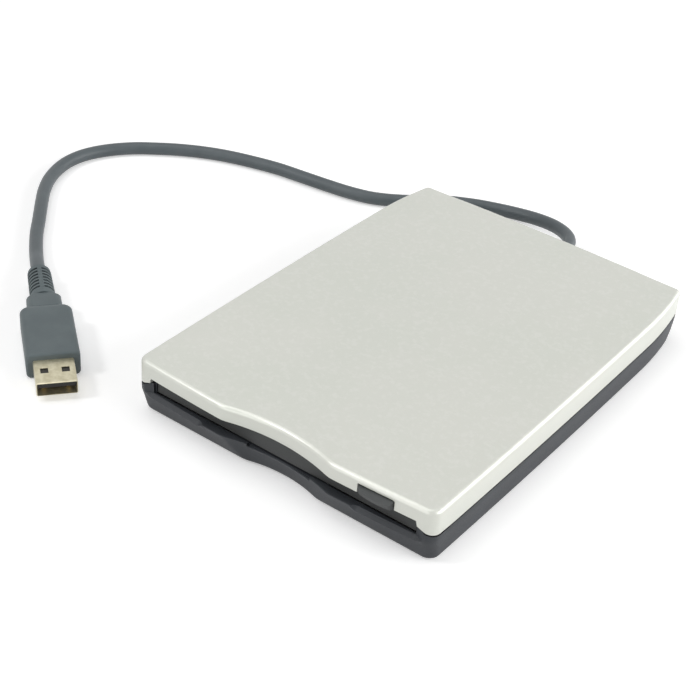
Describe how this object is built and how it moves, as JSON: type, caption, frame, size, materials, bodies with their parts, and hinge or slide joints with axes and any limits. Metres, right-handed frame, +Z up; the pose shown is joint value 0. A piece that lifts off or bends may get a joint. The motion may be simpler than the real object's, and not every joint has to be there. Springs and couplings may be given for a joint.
{
  "type": "external floppy disk drive",
  "caption": "Slim external disk drive: silver cover over a dark base, sprung slot door, eject button, disk carrier, spindle, heads on a lead screw, and a fixed USB cord with its plug.",
  "frame": {"origin": "under the middle of the drive, on the surface its rubber feet stand on", "axes": "+Z up, +X to the right seen from the front, +Y from the disk slot to the cord"},
  "size_m": [0.2255, 0.192, 0.0185],
  "materials": {
    "silver_paint": "fine silver lacquer on moulded plastic, satin",
    "slate_plastic": "dark slate moulded plastic, satin",
    "button_plastic": "dark slate moulded plastic, satin",
    "door_plastic": "dark slate moulded plastic, matte",
    "foot_rubber": "black rubber",
    "cord_rubber": "slate grey soft vinyl",
    "plug_vinyl": "slate grey moulded vinyl, fine matte grain",
    "plug_metal": "warm plated steel",
    "contact_gold": "gold plate",
    "tongue_plastic": "white moulded plastic",
    "sheet_steel": "zinc-plated sheet steel",
    "bright_steel": "turned steel",
    "bronze": "sintered bronze",
    "copper": "enamelled copper wire",
    "magnet": "ferrite",
    "board": "green solder mask",
    "chip": "black moulded epoxy",
    "flex": "amber polyimide film",
    "white_plastic": "white acetal",
    "black_plastic": "black moulded plastic",
    "head_ceramic": "polished ceramic"
  },
  "bodies": {
    "case": {"top_cover": "silver_paint", "base_case": "slate_plastic", "rubber_feet": "foot_rubber", "case_screws": "bright_steel", "chassis_screws": "bright_steel", "drive_chassis": "sheet_steel", "shield_plate": "sheet_steel", "motor_board": "board", "spindle_bearing": "bronze", "stator_core": "sheet_steel", "stator_coils": "copper", "guide_rods": "bright_steel", "rod_clips": "black_plastic", "stepper_bracket": "sheet_steel", "stepper_motor": "sheet_steel", "track_zero_sensor": "black_plastic", "control_board": "board", "control_chips": "chip", "usb_board": "board", "usb_chips": "chip", "flex_cable": "flex", "cord_header": "white_plastic", "cord_leads": "copper", "door_springs": "bright_steel", "switch_housings": "black_plastic", "cord_relief": "plug_vinyl", "cord": "cord_rubber", "plug_boot": "plug_vinyl", "plug_body": "plug_vinyl", "plug_shell": "plug_metal", "plug_tongue": "tongue_plastic", "plug_contacts": "contact_gold"},
    "spindle": {"rotor_cup": "sheet_steel", "ring_magnet": "magnet", "spindle_shaft": "bright_steel", "hub_plate": "bright_steel", "drive_pin": "bright_steel"},
    "carriage": {"head_carriage": "black_plastic", "lower_head": "head_ceramic", "screw_follower": "white_plastic"},
    "head_arm": {"upper_arm": "sheet_steel", "upper_head": "head_ceramic"},
    "screw": {"lead_screw": "bright_steel"},
    "door": {"slot_door": "door_plastic"},
    "eject_slide": {"eject_button": "button_plastic", "slide_plate": "sheet_steel", "eject_springs": "bright_steel"},
    "carrier": {"disk_carrier": "sheet_steel", "lever_spring": "bright_steel"},
    "lever": {"shutter_lever": "white_plastic"},
    "protect_switch": {"write_protect_plunger": "white_plastic"},
    "density_switch": {"density_plunger": "white_plastic"},
    "disk_switch": {"disk_in_plunger": "white_plastic"}
  },
  "joints": [
    {"name": "eject_button_slide", "type": "slide", "parent": "case", "child": "eject_slide", "axis": [0, -1, 0], "range_m": [0, 0.0045]},
    {"name": "carrier_drop", "type": "slide", "parent": "case", "child": "carrier", "axis": [0, 0, -1], "range_m": [0, 0.0018]},
    {"name": "shutter_lever_swing", "type": "hinge", "parent": "carrier", "child": "lever", "pos_m": [-0.038, 0.01781, 0.014], "axis": [0, 0, 1], "range_deg": [0, 36], "stiffness_Nm_per_rad": 0.002},
    {"name": "slot_door_swing", "type": "hinge", "parent": "case", "child": "door", "pos_m": [0, -0.06729, 0.0143], "axis": [1, 0, 0], "range_deg": [0, 85], "stiffness_Nm_per_rad": 0.0006, "springref_deg": -11.46},
    {"name": "spindle_spin", "type": "hinge", "parent": "case", "child": "spindle", "pos_m": [0, -0.02269, 0.005], "axis": [0, 0, 1], "continuous": true},
    {"name": "head_step", "type": "slide", "parent": "case", "child": "carriage", "axis": [0, -1, 0], "range_m": [0, 0.0148]},
    {"name": "lead_screw_turn", "type": "hinge", "parent": "case", "child": "screw", "pos_m": [0.024, 0.03781, 0.0092], "axis": [0, 1, 0], "continuous": true},
    {"name": "head_arm_swing", "type": "hinge", "parent": "carriage", "child": "head_arm", "pos_m": [0, 0.04071, 0.0114], "axis": [1, 0, 0], "range_deg": [0, 8.2]},
    {"name": "write_protect_press", "type": "slide", "parent": "case", "child": "protect_switch", "axis": [0, 0, -1], "range_m": [0, 0.0008], "stiffness_N_per_m": 150},
    {"name": "density_press", "type": "slide", "parent": "case", "child": "density_switch", "axis": [0, 0, -1], "range_m": [0, 0.0008], "stiffness_N_per_m": 150},
    {"name": "disk_in_press", "type": "slide", "parent": "case", "child": "disk_switch", "axis": [0, 0, -1], "range_m": [0, 0.0008], "stiffness_N_per_m": 150}
  ],
  "couplings": [
    {"joint": "carrier_drop", "follows": "eject_button_slide", "ratio": 0.4},
    {"joint": "head_arm_swing", "follows": "eject_button_slide", "rad_per_m": 31.4},
    {"joint": "lead_screw_turn", "follows": "head_step", "rad_per_m": 1675.5}
  ]
}
